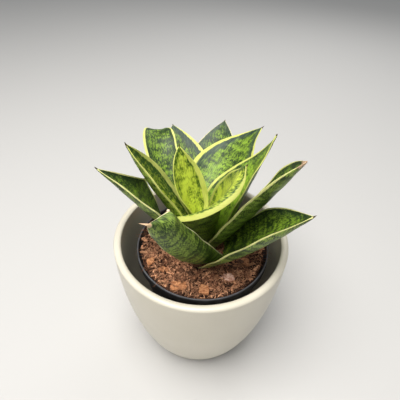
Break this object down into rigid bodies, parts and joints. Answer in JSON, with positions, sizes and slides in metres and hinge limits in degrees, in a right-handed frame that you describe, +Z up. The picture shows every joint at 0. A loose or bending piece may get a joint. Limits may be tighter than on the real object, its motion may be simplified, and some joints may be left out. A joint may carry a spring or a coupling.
{
  "type": "potted snake plant",
  "caption": "Small variegated snake plant rosette in a black nursery pot standing inside a cream glazed ceramic cover pot.",
  "frame": {"origin": "middle of the cover pot's flat foot, on the surface it stands on", "axes": "+Z up; -Y is the front, +X is to the right seen from the front"},
  "size_m": [0.1364, 0.1692, 0.2065],
  "materials": {
    "ceramic": "glossy cream glaze with faint specks",
    "black_plastic": "matte black injection moulded, dusty rim",
    "coir": "rough coir fibre and bark mix",
    "bark": "rough broken bark",
    "stem": "pale corky stem",
    "young_leaf": "satin waxy leaf, yellow margins, bright mottled green",
    "leaf": "satin waxy leaf, yellow margins, dark cross-banded green"
  },
  "bodies": {
    "root": {"cover_pot": "ceramic", "nursery_pot": "black_plastic", "crown": "stem", "potting_mix": "coir", "leaf_heart": "young_leaf", "leaf_left_inner": "young_leaf", "leaf_front_inner": "young_leaf", "leaf_right_inner": "leaf", "leaf_back_right": "leaf", "leaf_back_left": "leaf", "leaf_right": "leaf", "leaf_back_middle": "leaf", "leaf_back": "leaf", "leaf_left": "leaf", "leaf_front_left": "leaf", "leaf_front_right": "leaf", "bark_chip_1": "bark", "bark_chip_2": "bark", "bark_chip_3": "bark", "bark_chip_4": "bark", "bark_chip_5": "bark", "bark_chip_6": "bark"}
  },
  "joints": []
}
